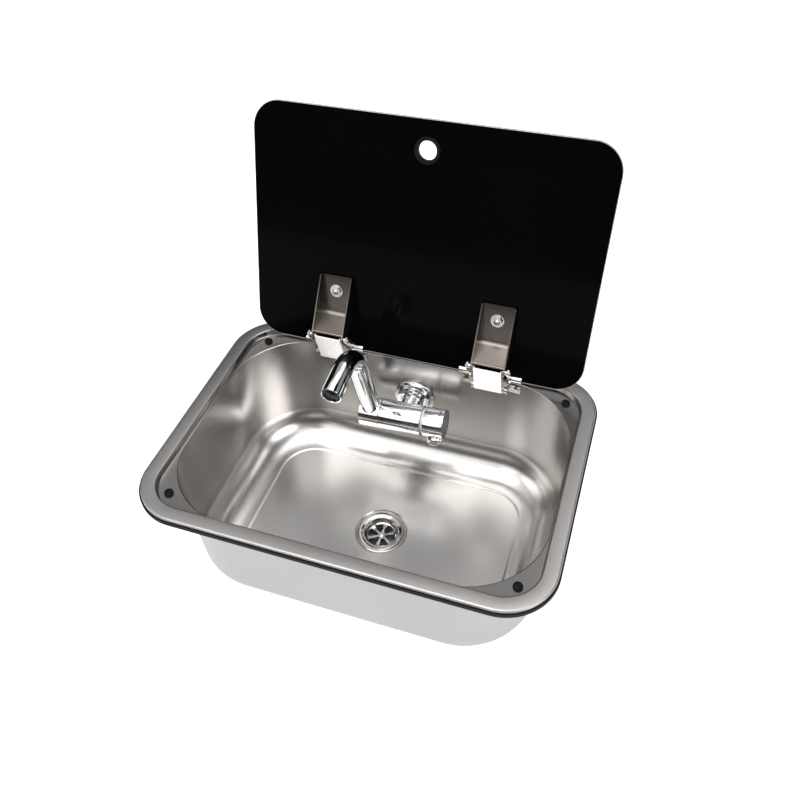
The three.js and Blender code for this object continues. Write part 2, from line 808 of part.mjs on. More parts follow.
// Pan-head screw through leaf and wall, with its nut run up behind the wall.
function baseScrewSolid() {
  const behind = rearWallAt(screwZ) + sheet + gap + 0.4 - screwFront;
  const head = lathe([
    [0, -screwHeadHeight],
    [screwHead * 0.5, -screwHeadHeight * 0.92],
    [screwHead * 0.85, -screwHeadHeight * 0.6],
    [screwHead, 0],
    [0, 0],
  ], 14);
  const shank = rod(screwRadius, -0.5, behind + screwNutHeight + 2, 10);
  const nut = rod(screwNut, behind, behind + screwNutHeight, 6);
  const slot = box(-0.4, 0.4, -2, 2, -screwHeadHeight - 1, -screwHeadHeight + 1.1);
  const cross = joined(slot, turned(slot, 0, 0, 90));
  return alongY(cut(joined(head, shank, nut), cross));
}

// Stay: a channel that swings on the rod, its web in front and its flanges tapered.
function staySolid() {
  const reach = stayWebLow + stayWebLength;
  const corner = 1.2;
  const web = beltShape([
    [-stayWebOffset + hingeSheet / 2, stayWebLow + hingeSheet / 2, hingeSheet / 2],
    [-stayWebOffset + hingeSheet / 2, reach - hingeSheet / 2, hingeSheet / 2],
  ]);
  const flange = beltShape([
    [0, 0, stayRodRadius + 2.2],
    [-stayWebOffset + stayTipDepth - corner, reach - corner, corner],
    [-stayWebOffset + corner, reach - corner, corner],
    [-stayWebOffset + corner, stayWebLow + corner, corner],
  ]);
  const sideFrom = stayHalf - hingeSheet;
  const channel = joined(
    extrudeAlongX(web, -stayHalf, stayHalf, 2),
    extrudeAlongX(flange, sideFrom, stayHalf, 3),
    extrudeAlongX(flange, -stayHalf, -sideFrom, 3),
  );
  const bore = alongX(rod(stayRodRadius + gap, -stayHalf - 1, stayHalf + 1, 16));
  return cut(channel, bore);
}

// ------------------------------------------------------------------------- tap
// The tap's frame: origin where the shank's axis meets the wall, +Y into the wall,
// then turned by tapRoll about Y. The body's axis lies at Y = -bodyOut.
const onBody = (solid) => alongX(solid).translate([0, -bodyOut, 0]);

function roseSolid() {
  return alongY(lathe([
    [shankRadius + gap, -gap],
    [roseRadius, -gap],
    [roseRadius, -gap - 2.4],
    [roseRadius - 1.4, -gap - 5],
    [roseRadius - 5, -roseThickness + 1],
    [roseRadius - 9, -roseThickness],
    [shankRadius + gap, -roseThickness],
    [shankRadius + gap, -gap],
  ], 36));
}

function tapBodySolid() {
  const barrel = lathe([
    [0, spigotEnd],
    [spigotRadius, spigotEnd],
    [spigotRadius, bodyLeft],
    [bodyRadius, bodyLeft],
    [bodyRadius, bodyRight - 0.6],
    [bodyRadius - 0.6, bodyRight],
    [0, bodyRight],
  ], 32);
  const chamber = rod(cartridgeRadius + gap, cartridgeStart, bodyRight + 4, 28);
  const wayOut = rod(spigotRadius - 4, spigotEnd - 2, bodyLeft + 8, 24);
  const port = rod(spoutPort, 0, spigotRadius + 2, 16).translate([spoutAlong, -bodyOut, 0]);
  const shank = alongY(rod(shankRadius, -bodyOut, shankTail, 28));
  const inlets = [-1, 1].map((side) =>
    alongY(rod(shankBore / 2, shankTail - 22, shankTail + 2, 12))
      .translate([side * (shankRadius / 2 - 0.4), 0, 0]));
  const body = joined(onBody(barrel), shank);
  return cut(body, onBody(chamber), onBody(wayOut), port, ...inlets);
}

// Fold-down spout: collar on the spigot, riser, bend and outlet in one casting.
function spoutCurve() {
  const curve = new THREE.CurvePath();
  const turn = rad(90 + spoutPitch);
  const from = new THREE.Vector2(0, 0);
  const up = new THREE.Vector2(0, spoutRise - spoutBend);
  const centre = new THREE.Vector2(spoutBend, up.y);
  const at = (angle) => new THREE.Vector2(
    centre.x - spoutBend * Math.cos(angle), centre.y + spoutBend * Math.sin(angle),
  );
  const end = at(turn);
  const heading = new THREE.Vector2(Math.sin(turn), Math.cos(turn));
  const mouth = end.clone().addScaledVector(heading, spoutReach);
  return { from, up, at, turn, end, mouth, heading };
}

// Leans a piece of the spout, built about the body's axis, and puts it in place.
const leant = (solid) => turned(solid, spoutLean, 0, 0).translate([0, -bodyOut, 0]);

function spoutTubeSolid(radiusAt, extraEnd) {
  const { up, at, turn, end, heading } = spoutCurve();
  const root = new THREE.Vector2(0, spigotRadius + 2 * gap);
  const stations = [{ p: root, a: 0, r: radiusAt(0) }];
  const bendSteps = 7;
  for (let i = 0; i <= bendSteps; i++) {
    const a = turn * i / bendSteps;
    stations.push({ p: i === 0 ? up : at(a), a, r: radiusAt(0.35 + 0.25 * i / bendSteps) });
  }
  const tail = end.clone().addScaledVector(heading, spoutReach + extraEnd);
  stations.push({ p: tail, a: turn, r: radiusAt(1) });
  const sides = 20;
  const rings = stations.map(({ p, a, r }) => {
    const ring = [];
    for (let i = 0; i < sides; i++) {
      const angle = 2 * Math.PI * i / sides;
      const across = r * Math.cos(angle);
      const outward = r * Math.sin(angle);
      ring.push(new THREE.Vector3(
        across,
        -(p.x - outward * Math.cos(a)),
        p.y + outward * Math.sin(a),
      ));
    }
    return ring;
  });
  const centreOf = (ring) => ring
    .reduce((sum, point) => sum.add(point), new THREE.Vector3())
    .divideScalar(ring.length);
  return skin(rings, centreOf(rings[0]), centreOf(rings[rings.length - 1]))
    .translate([spoutAlong, 0, 0]);
}

function spoutSolid() {
  const grow = (t) => spoutTube + mouthFlare * THREE.MathUtils.smoothstep(t, 0.2, 1);
  const collar = alongX(lathe([
    [0, collarEnd],
    [bodyRadius - 0.8, collarEnd],
    [bodyRadius, collarEnd + 0.8],
    [bodyRadius, bodyLeft - gap - 0.6],
    [bodyRadius - 0.6, bodyLeft - gap],
    [0, bodyLeft - gap],
  ], 32));
  const bore = alongX(rod(spigotRadius + gap, collarEnd - 2, bodyLeft + 2, 28));
  const outer = spoutTubeSolid((t) => grow(t), 0);
  const inner = spoutTubeSolid((t) => grow(t) - (spoutTube - spoutBore), 2);
  const port = rod(spoutBore, spigotRadius - 2, spigotRadius + 8, 20)
    .translate([spoutAlong, 0, 0]);
  return leant(cut(joined(outer, collar), inner, bore, port));
}

function spoutPlugSolid() {
  return onBody(lathe([
    [0, collarEnd + 0.4],
    [spigotRadius - 0.2, collarEnd + 0.4],
    [spigotRadius - 0.2, spigotEnd - gap - 1.6],
    [spigotRadius - 3, spigotEnd - gap],
    [0, spigotEnd - gap],
  ], 28));
}

// Flow straightener pressed into the outlet, a ring with notched inner edge.
function aeratorSolid() {
  const { end, heading, turn } = spoutCurve();
  const outer = spoutBore + mouthFlare - 0.8;
  const depth = 6;
  const notches = 6;
  const ring = tube(outer, outer - 2.2, 0, depth, 24);
  const mesh = [];
  for (let i = 0; i < notches; i++) {
    const blade = box(-0.7, 0.7, 0, outer - 1, 0, depth * 0.5);
    mesh.push(turned(blade, 0, 0, fullTurn * i / notches));
  }
  const hub = rod(2, 0, depth * 0.5, 12);
  const whole = joined(ring, hub, ...mesh);
  const inset = 7;
  const at = end.clone().addScaledVector(heading, spoutReach - inset - depth);
  return leant(turned(whole, degrees(turn), 0, 0).translate([spoutAlong, -at.x, at.y]));
}

const trimRingSolid = () =>
  onBody(tube(ringRadius, rotorRadius + 1.4, bodyRight + gap, ringEnd, 28));

function cartridgeSolid() {
  return onBody(lathe([
    [0, cartridgeStart + gap],
    [cartridgeRadius, cartridgeStart + gap],
    [cartridgeRadius, bodyRight],
    [0, bodyRight],
  ], 24));
}

// Turns a piece built about the body's axis with the lever, and puts it in place.
const turnedOnBody = (solid) =>
  turned(solid, -leverTurn, 0, 0).translate([0, -bodyOut, 0]);

function rotorSolid() {
  const disc = rod(rotorRadius, rotorStart, rotorEnd, 20);
  const slot = box(-rotorSlot, rotorSlot, -stemHalf - gap, stemHalf + gap, rotorStart + 1, rotorEnd + 1);
  return turnedOnBody(alongX(cut(disc, slot)));
}

function handleSolid() {
  const shell = lathe([
    [bodyRadius - handleWall, handleStart],
    [bodyRadius, handleStart],
    [bodyRadius, handleEnd - 1.2],
    [bodyRadius - 1.2, handleEnd],
    [0, handleEnd],
    [0, handleEnd - 6],
    [bodyRadius - handleWall, handleEnd - 6],
    [bodyRadius - handleWall, handleStart],
  ], 32);
  const stem = joined(
    box(-stemHalf, stemHalf, -stemHalf + 0.2, stemHalf - 0.2, tiltAxis - 1.6, handleEnd - 5),
    rod(7, ringEnd + 5, handleEnd - 5, 20),
  );
  return turnedOnBody(joined(alongX(joined(shell, stem)), leverSolid()));
}

function leverSolid() {
  const right = handleEnd - 2;
  const left = right - leverWidth;
  const low = -bodyRadius - leverDrop;
  const slant = 5;
  const shape = polygonShape([
    [left, -bodyRadius + 4],
    [left, low + slant],
    [left + 3, low + 0.8],
    [left + 6, low],
    [right - 6, low],
    [right, low + slant + 1],
    [right, -bodyRadius + 4],
  ]);
  const plate = solidOf(extrude(shape, -leverThickness / 2, leverThickness / 2));
  return turned(plate, 90, 0, 0).translate([0, -3, 0]);
}

// Raised temperature mark on the handle, at an angle forward of the top.
function markSolid(forward) {
  const along = handleEnd - markFromEnd;
  const mark = rod(markRadius, 0, 0.6, 12);
  return turned(mark.translate([along, 0, bodyRadius + gap - 0.1]), forward, 0, 0)
    .translate([0, -bodyOut, 0]);
}

const washerThickness = 2;
const tapWasherSolid = () =>
  alongY(tube(shankRadius + 8, shankRadius + gap, sheet + gap, sheet + gap + washerThickness, 32));

function lockNutSolid() {
  const from = sheet + washerThickness + 2 * gap;
  const hex = rod(shankRadius + 7, from, from + 8, 6);
  return alongY(cut(hex, rod(shankRadius + gap, from - 1, from + 9, 24)));
}

// ----------------------------------------------------------------------- waste
const wasteTop = wasteSeatZ + gap + wasteWall;
const cupFloorZ = wasteTop - wasteCupDepth;

function wasteFlangeSolid() {
  return lathe([
    [wasteCup, cupFloorZ],
    [wasteCup + wasteWall, cupFloorZ],
    [wasteCup + wasteWall, wasteSeatZ + gap - 1],
    [wasteCup + wasteWall + 1, wasteSeatZ + gap],
    [wasteFlange, wasteSeatZ + gap],
    [wasteFlange, wasteTop - 0.5],
    [wasteFlange - 1, wasteTop],
    [wasteCup + 7, wasteTop - 0.3],
    [wasteCup + 2.2, wasteTop - 2],
    [wasteCup, wasteTop - 5],
    [wasteCup, cupFloorZ],
  ], 40).translate([0, wasteY, 0]);
}

function gridSolid() {
  const top = wasteTop - gridDrop;
  const thickness = 1.6;
  const outer = wasteCup - gap;
  const ring = lathe([
    [outer - 2.6, top - thickness],
    [outer, top - thickness - 3],
    [outer, top],
    [outer - 1, top + 0.8],
    [outer - 2.6, top],
    [outer - 2.6, top - thickness],
  ], 32);
  const hub = tube(6, 2.6, top - thickness, top, 14);
  const spokes = [];
  for (let i = 0; i < gridSpokes; i++) {
    const arm = extrude(polygonShape([
      [5, -1.2],
      [11, -1.5],
      [outer - 2, -3.4],
      [outer - 2, 3.4],
      [11, 1.5],
      [5, 1.2],
    ]), top - thickness, top);
    spokes.push(turned(solidOf(arm), 0, 0, fullTurn * (i + 0.5) / gridSpokes));
  }
  return joined(ring, hub, ...spokes).translate([0, wasteY, 0]);
}

// Bridge in the cup that the grid's screw runs into.
function bridgeSolid() {
  const top = cupFloorZ + 3;
  const bar = box(-wasteCup + 1, wasteCup - 1, -4, 4, cupFloorZ + 0.6, top);
  const boss = rod(5, cupFloorZ + 0.6, wasteTop - gridDrop - 1.6 - gap, 14);
  const hole = rod(2.2 + gap, cupFloorZ, wasteTop, 12);
  const cupRing = tube(wasteCup - gap, wasteCup - 2.4, cupFloorZ, top, 28);
  return cut(joined(bar, boss, cupRing), hole).translate([0, wasteY, 0]);
}

function gridScrewSolid() {
  const seat = wasteTop - gridDrop + gap;
  const head = lathe([
    [0, seat + 2],
    [2.4, seat + 1.8],
    [4.2, seat + 0.9],
    [4.6, seat],
    [2.2, seat],
    [2.2, cupFloorZ + 1.4],
    [0, cupFloorZ + 1.4],
  ], 14);
  const slot = box(-0.5, 0.5, -2.8, 2.8, seat + 0.9, seat + 3);
  return cut(head, slot, turned(slot, 0, 0, 90)).translate([0, wasteY, 0]);
}

const undersideZ = wasteSeatZ - sheet;

function wasteSealSolid() {
  const seal = tube(wasteFlange - 1, wasteCup + wasteWall + gap, undersideZ - gap - 3, undersideZ - gap, 32);
  return seal.translate([0, wasteY, 0]);
}

function wasteBodySolid() {
  const top = undersideZ - 2 * gap - 3;
  const inner = wasteCup + wasteWall + gap;
  const shoulder = cupFloorZ - 2;
  const low = shoulder - 10;
  const end = top - tailLength;
  return lathe([
    [inner, top],
    [wasteFlange - 1, top],
    [wasteFlange - 1, top - 4],
    [inner + 3, top - 6],
    [inner + 3, shoulder],
    [tailRadius, low],
    [tailRadius, end],
    [tailRadius - 2.4, end],
    [tailRadius - 2.4, low + 1.4],
    [inner, shoulder + 1],
    [inner, top],
  ], 32).translate([0, wasteY, 0]);
}

// -------------------------------------------------------------------- assembly
const sink = new THREE.Group();
const root = new THREE.Group();
root.add(sink);
sink.position.z = rimTop;

sink.add(piece("sink_bowl", bowlSolid(), brushedSteel));
sink.add(piece("rim_gasket", gasketSolid(), blackRubber));
for (const [name, x, y] of [
  ["bumper_front_left", -1, -1],
  ["bumper_front_right", 1, -1],
  ["bumper_rear_left", -1, 1],
  ["bumper_rear_right", 1, 1],
]) {
  const bumper = piece(name, bumperSolid(), blackRubber);
  bumper.position.set(x * bumperX, y * bumperY, 0);
  sink.add(bumper);
}

const lidPivot = new THREE.Group();
lidPivot.position.set(0, pivotY, pivotZ);
lidPivot.rotation.x = -rad(lidOpenAngle);
sink.add(lidPivot);
const lid = new THREE.Group();
lid.position.set(0, lidRearY - pivotY, lidUnderZ - pivotZ);
lidPivot.add(lid);
lid.add(piece("lid_glass", glassSolid(), blackGlass));
lid.add(piece("finger_grommet", grommetSolid(), blackRubber));

for (const [word, side] of [["left", -1], ["right", 1]]) {
  const moving = new THREE.Group();
  moving.position.x = side * hingeSpread;
  lid.add(moving);
  moving.add(piece(`hinge_arm_${word}`, armSolid(), polishedSteel));
  moving.add(piece(`arm_pad_${word}`, padSolid(), blackRubber));
  moving.add(piece(`lid_bolt_${word}`, boltSolid(), polishedSteel));
  moving.add(piece(`cap_nut_${word}`, capNutSolid(), polishedSteel));

  const fixed = new THREE.Group();
  fixed.position.x = side * hingeSpread;
  sink.add(fixed);
  fixed.add(piece(`hinge_base_${word}`, baseSolid(side), polishedSteel));
  fixed.add(piece(`pivot_pin_${word}`, pivotPinSolid(), polishedSteel));
  fixed.add(piece(`stay_rod_${word}`, stayRodSolid(), chrome));

  for (const [hand, end] of [["outer", side], ["inner", -side]]) {
    moving.add(piece(`hinge_cheek_${word}_${hand}`, cheekSolid(end), polishedSteel));
    moving.add(piece(`arm_rivet_${word}_${hand}`, rivetSolid(end), polishedSteel));
    moving.add(piece(`stub_axle_${word}_${hand}`, stubSolid(end), chrome));
    const screw = piece(`base_screw_${word}_${hand}`, baseScrewSolid(), polishedSteel);
    const x = side * hingeSpread + end * screwSpread;
    screw.position.set(end * screwSpread, screwFront - wallDrop(x), screwZ);
    screw.rotation.z = wallTurn(x);
    fixed.add(screw);
  }

  const stay = piece(`stay_${word}`, staySolid(), polishedSteel);
  stay.position.set(side * hingeSpread, stayPivotY, stayPivotZ);
  stay.rotation.x = rad(stayLean);
  sink.add(stay);
}

const tapMount = new THREE.Group();
tapMount.position.set(0, rearWallAt(tapZ), tapZ);
tapMount.rotation.x = -wallLean;
sink.add(tapMount);
const tap = new THREE.Group();
tap.rotation.y = -rad(tapRoll);
tapMount.add(tap);
tap.add(piece("tap_rose", roseSolid(), chrome));
tap.add(piece("tap_body", tapBodySolid(), chrome));
tap.add(piece("tap_washer", tapWasherSolid(), blackRubber));
tap.add(piece("tap_lock_nut", lockNutSolid(), brass));
tap.add(piece("trim_ring", trimRingSolid(), whitePlastic));
tap.add(piece("cartridge", cartridgeSolid(), greyPlastic));
tap.add(piece("cartridge_rotor", rotorSolid(), whitePlastic));
tap.add(piece("spout", spoutSolid(), chrome));
tap.add(piece("spout_plug", spoutPlugSolid(), chrome));
tap.add(piece("aerator", aeratorSolid(), whitePlastic));
tap.add(piece("handle", handleSolid(), chrome));
tap.add(piece("hot_mark", markSolid(hotMarkTurn), redPaint));
tap.add(piece("cold_mark", markSolid(coldMarkTurn), bluePaint));

sink.add(piece("waste_flange", wasteFlangeSolid(), chrome));
sink.add(piece("waste_grid", gridSolid(), chrome));
sink.add(piece("grid_screw", gridScrewSolid(), polishedSteel));
sink.add(piece("waste_bridge", bridgeSolid(), greyPlastic));
sink.add(piece("waste_seal", wasteSealSolid(), blackRubber));
sink.add(piece("waste_body", wasteBodySolid(), greyPlastic));

export default root;
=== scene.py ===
"""Looks of the drop-in camper sink with a folding glass lid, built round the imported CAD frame."""
import json
import math

import bmesh
import bpy
from mathutils import Matrix, Vector

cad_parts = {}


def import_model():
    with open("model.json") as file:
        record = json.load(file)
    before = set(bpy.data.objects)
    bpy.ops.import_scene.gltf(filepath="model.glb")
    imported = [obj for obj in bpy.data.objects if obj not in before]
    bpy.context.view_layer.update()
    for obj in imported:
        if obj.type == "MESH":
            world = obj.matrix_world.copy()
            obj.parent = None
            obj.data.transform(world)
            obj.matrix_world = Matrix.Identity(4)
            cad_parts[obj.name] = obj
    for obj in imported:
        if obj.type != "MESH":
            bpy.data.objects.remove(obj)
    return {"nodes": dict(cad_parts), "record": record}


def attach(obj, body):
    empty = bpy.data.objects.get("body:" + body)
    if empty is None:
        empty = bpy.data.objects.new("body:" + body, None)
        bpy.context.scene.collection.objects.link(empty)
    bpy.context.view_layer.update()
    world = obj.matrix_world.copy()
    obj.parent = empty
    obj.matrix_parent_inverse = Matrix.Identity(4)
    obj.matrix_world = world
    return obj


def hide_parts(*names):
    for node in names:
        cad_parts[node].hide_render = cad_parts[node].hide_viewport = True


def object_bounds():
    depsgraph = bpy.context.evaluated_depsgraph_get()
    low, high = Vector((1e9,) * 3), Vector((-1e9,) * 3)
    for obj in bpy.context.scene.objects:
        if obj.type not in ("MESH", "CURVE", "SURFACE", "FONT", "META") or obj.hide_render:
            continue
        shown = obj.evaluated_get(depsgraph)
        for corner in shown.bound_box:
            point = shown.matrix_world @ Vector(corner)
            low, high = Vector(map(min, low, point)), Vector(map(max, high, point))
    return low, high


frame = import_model()
cad_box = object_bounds()

MM = 0.001
GAP = 0.3  # clearance between pieces that seat in each other

# ------------------------------------------------ bowl's sizes in mm, z from the rim's top
RIM_TOP = 9.0  # above the worktop, where the frame's z is 0
RIM_WIDTH, RIM_DEPTH, RIM_CORNER = 530.0, 380.0, 66.0
RIM_ROLL = 3.0
FLANGE = 19.7
RECESS_ROUND = 2.0
SHELF_DROP = 10.0
SHELF_FILLET = 1.2
SHELF_LEDGE = 0.3
EDGE_ROUND = 1.6
BOWL_CORNER = 104.0
BOWL_DEPTH = 193.5
DRAFT = 3.0
FLOOR_FILLET = 45.0
FLOOR_FLAT = 2.0
STEP_ROUND = 8.0
STEP_ANGLE = 19.7
FLOOR_FALL = 1.6
SHEET = 0.8
SHELF_INSET = FLANGE + SHELF_FILLET
EDGE_INSET = SHELF_INSET + SHELF_LEDGE
WALL_INSET = EDGE_INSET + EDGE_ROUND
FLOOR_INSET = WALL_INSET + DRAFT + FLOOR_FILLET
STEP_INSET = FLOOR_INSET + FLOOR_FLAT
STEP_RUN = 2 * STEP_ROUND * math.sin(math.radians(STEP_ANGLE))
STEP_DROP = 2 * STEP_ROUND * (1 - math.cos(math.radians(STEP_ANGLE)))
WALL_TOP_Z = -SHELF_DROP - EDGE_ROUND
WALL_LEAN = math.atan2(DRAFT, WALL_TOP_Z - (-BOWL_DEPTH + FLOOR_FILLET))
REAR_WALL_Y = RIM_DEPTH / 2 - WALL_INSET
CORNER_STEPS = 32

# ------------------------------------------------------------------------ waste
WASTE_Y = -5.0
WASTE_FLANGE = 36.0
WASTE_CUP = 23.0
WASTE_WALL = 1.5
WASTE_DEPTH = 22.0
SEAT_DROP = 1.8
SEAT_TOP, SEAT_FOOT, SEAT_HOLE = WASTE_FLANGE + 2.6, WASTE_FLANGE + 0.8, WASTE_CUP + 3.0
WASTE_RIM_Z = -(BOWL_DEPTH + STEP_DROP + FLOOR_FALL)
WASTE_SEAT_Z = WASTE_RIM_Z - SEAT_DROP
WASTE_TOP = WASTE_SEAT_Z + GAP + WASTE_WALL

# -------------------------------------------------------------------------- lid
LID_WIDTH, LID_DEPTH, LID_CORNER, GLASS = 476.0, 330.0, 38.0, 5.0
LID_EDGE = 0.9
LID_OPEN = 106.75
LID_UNDER_Z = -5.4
PIVOT_Y, PIVOT_Z = 164.0, 3.4
FINGER_REACH = LID_DEPTH - 38.0
FINGER_HOLE = 15.5

# ------------------------------- tap: x runs along its body, from the shank's middle
TAP_Z = -79.0
TAP_ROLL = 3.0
ROSE_RADIUS, ROSE_STEP, ROSE_THICKNESS = 31.0, 24.4, 9.0
SHANK_RADIUS, SHANK_LENGTH = 15.0, 80.0
INLET_BORE, INLET_DEPTH = 12.0, 20.0
BODY_OUT, BODY_RADIUS = 46.0, 22.0
BODY_LEFT, BODY_RIGHT = -35.5, 27.0
SPIGOT_RADIUS, SPIGOT_END = 16.0, -58.5
COLLAR_END = -66.5
SOCKET_RADIUS, SOCKET_FLOOR = 17.7, 1.0
RING_RADIUS, RING_BORE, RING_WIDTH = 18.4, 12.4, 5.5
CAP_BORE, CAP_START, CAP_END, CAP_FACE = 19.6, 31.2, 61.0, 6.0
LEVER_LEFT, LEVER_RIGHT, LEVER_ROOT, LEVER_TIP = 39.0, 59.0, -18.0, -33.0
LEVER_FRONT, LEVER_BACK = -5.0, -1.0
LEVER_TURN = 45.0
SPOUT_LEAN, SPOUT_ALONG = 14.5, -51.0
SPOUT_RISE, SPOUT_BEND, SPOUT_REACH, SPOUT_PITCH = 161.0, 40.0, 41.7, -5.5
SPOUT_FOOT, SPOUT_RADIUS, SPOUT_FLARE = 17.0, 13.8, 0.5
SPOUT_LIP = [  # back from the mouth, in from the tube's outside
    (1.0, 0.0), (0.3, 0.25), (0.0, 0.9), (0.0, 1.7), (0.6, 2.3), (22.0, 2.8),
]


# ----------------------------------------------------------------- mesh helpers
def new_object(name, mesh, body, node_name, looks):
    """An object that rides on a body and, where node_name is given, stands for that CAD node."""
    obj = bpy.data.objects.new(name, mesh)
    bpy.context.scene.collection.objects.link(obj)
    for look in looks:
        obj.data.materials.append(look)
    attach(obj, body)
    if node_name:
        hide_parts(node_name)
    return obj


def mesh_from(name, points, faces, place, zones=None):
    """A mesh of points in mm, moved by place, with smooth faces but for sharp edges."""
    mesh = bpy.data.meshes.new(name)
    moved = [(place @ Vector(p)) * MM for p in points]
    mesh.from_pydata([tuple(p) for p in moved], [], faces)
    if zones:
        mesh.polygons.foreach_set("material_index", zones)
    mesh.validate()
    work = bmesh.new()
    work.from_mesh(mesh)
    bmesh.ops.recalc_face_normals(work, faces=work.faces)
    smooth_below = math.radians(30)
    for face in work.faces:
        face.smooth = True
    for edge in work.edges:
        edge.smooth = len(edge.link_faces) != 2 or edge.calc_face_angle(0) < smooth_below
    work.to_mesh(mesh)
    work.free()
    return mesh


def mesh_of(name, work, place):
    """The mesh of a bmesh in mm, moved by place, smooth but for the edges it marks sharp."""
    for face in work.faces:
        face.smooth = True
    work.transform(Matrix.Scale(MM, 4) @ place)
    mesh = bpy.data.meshes.new(name)
    work.to_mesh(mesh)
    work.free()
    return mesh


def skin(rings, caps=False, closed=False):
    """Points and faces of a skin over rings of equal length, which may close on the first ring."""
    count = len(rings[0])
    points = [p for ring in rings for p in ring]
    faces = []
    for r in range(len(rings) if closed else len(rings) - 1):
        here, there = r * count, ((r + 1) % len(rings)) * count
        for i in range(count):
            j = (i + 1) % count
            faces.append((here + i, here + j, there + j, there + i))
    if caps:
        faces.append(tuple(range(count)))
        faces.append(tuple(reversed(range(len(points) - count, len(points)))))
    return points, faces


def rounded_rectangle(width, depth, radius, middle_y, z, steps):
    """A ring with steps + 1 points round each corner."""
    ring = []
    for corner in range(4):
        sx = 1 if corner in (0, 3) else -1
        sy = 1 if corner < 2 else -1
        for i in range(steps + 1):
            a = math.radians(90 * (corner + i / steps))
            ring.append((
                sx * (width / 2 - radius) + radius * math.cos(a),
                middle_y + sy * (depth / 2 - radius) + radius * math.sin(a), z))
    return ring


def circle(radius, middle_y, z, count):
    turns = [2 * math.pi * (i + 0.5) / count for i in range(count)]
    return [(radius * math.cos(a), middle_y + radius * math.sin(a), z) for a in turns]


def lathe(profile, segments, axis):
    """Rings about an axis from (radius, along) pairs that close on themselves."""
    rings = []
    for radius, along in profile:
        radius = max(radius, 0.01)
        ring = []
        for i in range(segments):
            a = 2 * math.pi * i / segments
            c, s = radius * math.cos(a), radius * math.sin(a)
            ring.append({"Z": (c, s, along), "X": (along, c, s), "Y": (c, along, s)}[axis])
        rings.append(ring)
    return rings


def rounded(profile, radius, steps=4):
    """A closed profile with its corners rounded by up to radius, but for those on the axis."""
    nearly_straight = math.radians(172)
    out = []
    for i, here in enumerate(profile):
        p = Vector(here)
        a, b = Vector(profile[i - 1]) - p, Vector(profile[(i + 1) % len(profile)]) - p
        on_axis = p.x < 0.05
        if on_axis or min(a.length, b.length) < 1e-6 or a.angle(b) > nearly_straight:
            out.append(tuple(p))
            continue
        reach = min(radius / math.tan(a.angle(b) / 2), a.length * 0.45, b.length * 0.45)
        start, end = p + a.normalized() * reach, p + b.normalized() * reach
        for k in range(steps + 1):
            t = k / steps
            out.append(tuple((1 - t) ** 2 * start + 2 * t * (1 - t) * p + t * t * end))
    return out


def turned(name, profile, place, body, node_name, look, axis="X", radius=0.5, segments=96):
    """A turned piece with rounded corners."""
    points, faces = skin(lathe(rounded(profile, radius), segments, axis), closed=True)
    return new_object(name, mesh_from(name, points, faces, place), body, node_name, [look])


# ------------------------------------------------------------- material helpers
def nodes_of(name):
    material = bpy.data.materials.new(name)
    material.use_nodes = True
    tree = material.node_tree
    return material, tree, tree.nodes["Principled BSDF"]


def node(tree, kind, inputs=None, **settings):
    """A new shader node whose inputs are linked to sockets or set to values."""
    made = tree.nodes.new(kind)
    for key, value in settings.items():
        setattr(made, key, value)
    for key, value in (inputs or {}).items():
        if isinstance(value, bpy.types.NodeSocket):
            tree.links.new(value, made.inputs[key])
        else:
            made.inputs[key].default_value = value
    return made


def noise(tree, scale, stretch=(1, 1, 1), detail=2.0):
    place = node(tree, "ShaderNodeTexCoord").outputs["Object"]
    mapped = node(tree, "ShaderNodeMapping", {"Vector": place, "Scale": stretch}).outputs[0]
    return node(tree, "ShaderNodeTexNoise", {
        "Vector": mapped, "Scale": scale, "Detail": detail,
    }).outputs["Fac"]


def spread(tree, factor, low, high):
    return node(tree, "ShaderNodeMapRange", {
        "Value": factor, "To Min": low, "To Max": high,
    }).outputs[0]


def tint(tree, factor, first, second):
    mix = node(tree, "ShaderNodeMix", data_type="RGBA")
    tree.links.new(factor, mix.inputs["Factor"])
    mix.inputs[6].default_value = (*first, 1)
    mix.inputs[7].default_value = (*second, 1)
    return mix.outputs[2]


def lift(tree, shader, height, strength, distance):
    bump = node(tree, "ShaderNodeBump", {"Strength": strength, "Distance": distance, "Height": height})
    tree.links.new(bump.outputs[0], shader.inputs["Normal"])


def metal(name, first, second, rough, cloud, grain=400.0, stretch=(1, 1, 1), bump=0.0,
          metallic=1.0, anisotropic=0.0):
    """Metal whose colour drifts in clouds and whose roughness varies along a stretched grain."""
    material, tree, shader = nodes_of(name)
    shader.inputs["Metallic"].default_value = metallic
    shader.inputs["Anisotropic"].default_value = anisotropic
    drift = noise(tree, cloud, detail=3.0)
    tree.links.new(tint(tree, drift, first, second), shader.inputs["Base Color"])
    line = noise(tree, grain, stretch, detail=1.0)
    tree.links.new(spread(tree, line, *rough), shader.inputs["Roughness"])
    if bump:
        lift(tree, shader, line, bump, 0.0002)
    return material


def plain(name, first, second, rough, cloud=120.0, bump=0.0, specular=0.5):
    """Plastic, rubber or glass whose colour and roughness drift together."""
    material, tree, shader = nodes_of(name)
    shader.inputs["Specular IOR Level"].default_value = specular
    drift = noise(tree, cloud, detail=3.0)
    tree.links.new(tint(tree, drift, first, second), shader.inputs["Base Color"])
    tree.links.new(spread(tree, drift, rough, rough + 0.06), shader.inputs["Roughness"])
    if bump:
        lift(tree, shader, drift, bump, 0.0003)
    return material


